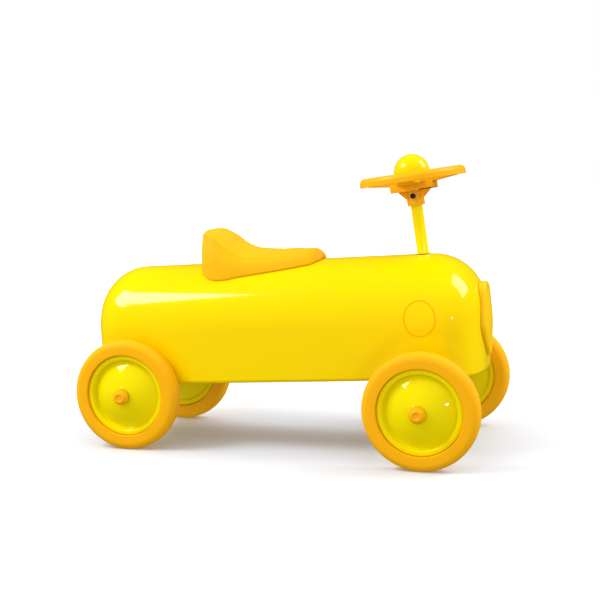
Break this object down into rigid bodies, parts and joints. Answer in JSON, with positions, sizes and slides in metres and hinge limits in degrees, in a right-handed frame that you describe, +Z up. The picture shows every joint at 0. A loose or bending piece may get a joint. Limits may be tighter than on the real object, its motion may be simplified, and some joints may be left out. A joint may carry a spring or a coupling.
{
  "type": "toddler ride-on car",
  "caption": "Toddler's foot-to-floor ride-on car with a rounded steel body, padded saddle seat, steered front wheels and a press horn.",
  "frame": {"origin": "on the floor, midway between the front and rear axles, on the centreline", "axes": "+X forward, +Y to the car's left, +Z up"},
  "size_m": [0.563, 0.325, 0.3914],
  "materials": {
    "yellow_enamel": "gloss",
    "wheel_enamel": "gloss",
    "tyre_rubber": "satin",
    "orange_plastic": "gloss",
    "horn_plastic": "gloss",
    "seat_leatherette": "satin",
    "nylon": "satin",
    "zinc_steel": "satin"
  },
  "bodies": {
    "chassis": {"body_shell": "yellow_enamel", "grille": "orange_plastic", "grille_clips": "zinc_steel", "seat_cushion": "seat_leatherette", "seat_base": "nylon", "seat_bolts": "zinc_steel", "seat_washers": "zinc_steel", "rear_axle_carrier": "yellow_enamel", "rear_carrier_rivets": "zinc_steel", "rear_axle_bushes": "nylon", "rear_axle": "zinc_steel", "rear_spacers": "zinc_steel", "front_subframe": "yellow_enamel", "front_subframe_rivets": "zinc_steel", "kingpins": "zinc_steel", "kingpin_nuts": "zinc_steel", "column_lower_bush": "nylon", "column_upper_bush": "nylon", "washers_rear_left": "zinc_steel", "washers_rear_right": "zinc_steel", "cap_nut_rear_left": "orange_plastic", "cap_nut_rear_right": "orange_plastic"},
    "column": {"steering_column": "yellow_enamel", "column_collar": "zinc_steel", "steering_wheel": "orange_plastic", "wheel_screw": "zinc_steel", "horn_spring": "zinc_steel"},
    "horn": {"horn_dome": "horn_plastic"},
    "knuckle_l": {"knuckle_left": "zinc_steel", "tie_rod_pin_left": "zinc_steel", "washers_front_left": "zinc_steel", "cap_nut_front_left": "orange_plastic"},
    "knuckle_r": {"knuckle_right": "zinc_steel", "tie_rod_pin_right": "zinc_steel", "washers_front_right": "zinc_steel", "cap_nut_front_right": "orange_plastic"},
    "link": {"tie_rod": "zinc_steel"},
    "wheel_front_left": {"tyre_front_left": "tyre_rubber", "outer_disc_front_left": "wheel_enamel", "inner_disc_front_left": "wheel_enamel", "hub_bush_front_left": "nylon"},
    "wheel_front_right": {"tyre_front_right": "tyre_rubber", "outer_disc_front_right": "wheel_enamel", "inner_disc_front_right": "wheel_enamel", "hub_bush_front_right": "nylon"},
    "wheel_rear_left": {"tyre_rear_left": "tyre_rubber", "outer_disc_rear_left": "wheel_enamel", "inner_disc_rear_left": "wheel_enamel", "hub_bush_rear_left": "nylon"},
    "wheel_rear_right": {"tyre_rear_right": "tyre_rubber", "outer_disc_rear_right": "wheel_enamel", "inner_disc_rear_right": "wheel_enamel", "hub_bush_rear_right": "nylon"}
  },
  "joints": [
    {"name": "steering", "type": "hinge", "parent": "chassis", "child": "column", "pos_m": [0.1849, 0, 0.2627], "axis": [-0.1316, 0, 0.9913], "range_deg": [-20, 20]},
    {"name": "steer_left", "type": "hinge", "parent": "chassis", "child": "knuckle_l", "pos_m": [0.2065, 0.075, 0.075], "axis": [0, 0, 1], "range_deg": [-20, 20]},
    {"name": "steer_right", "type": "hinge", "parent": "chassis", "child": "knuckle_r", "pos_m": [0.2065, -0.075, 0.075], "axis": [0, 0, 1], "range_deg": [-20, 20]},
    {"name": "link_swing", "type": "hinge", "parent": "knuckle_l", "child": "link", "pos_m": [0.1715, 0.075, 0.0843], "axis": [0, 0, 1], "range_deg": [-20, 20]},
    {"name": "horn_press", "type": "slide", "parent": "column", "child": "horn", "axis": [-0.1316, 0, 0.9913], "range_m": [-0.0035, 0], "stiffness_N_per_m": 400, "springref_m": 0.003, "deforming": ["horn_spring"]},
    {"name": "spin_front_left", "type": "hinge", "parent": "knuckle_l", "child": "wheel_front_left", "pos_m": [0.2065, 0.133, 0.075], "axis": [0, 1, 0], "continuous": true},
    {"name": "spin_front_right", "type": "hinge", "parent": "knuckle_r", "child": "wheel_front_right", "pos_m": [0.2065, -0.133, 0.075], "axis": [0, 1, 0], "continuous": true},
    {"name": "spin_rear_left", "type": "hinge", "parent": "chassis", "child": "wheel_rear_left", "pos_m": [-0.2065, 0.099, 0.075], "axis": [0, 1, 0], "continuous": true},
    {"name": "spin_rear_right", "type": "hinge", "parent": "chassis", "child": "wheel_rear_right", "pos_m": [-0.2065, -0.099, 0.075], "axis": [0, 1, 0], "continuous": true}
  ],
  "couplings": [
    {"joint": "steer_left", "follows": "steering", "ratio": 1},
    {"joint": "steer_right", "follows": "steering", "ratio": 1},
    {"joint": "link_swing", "follows": "steering", "ratio": -1}
  ]
}
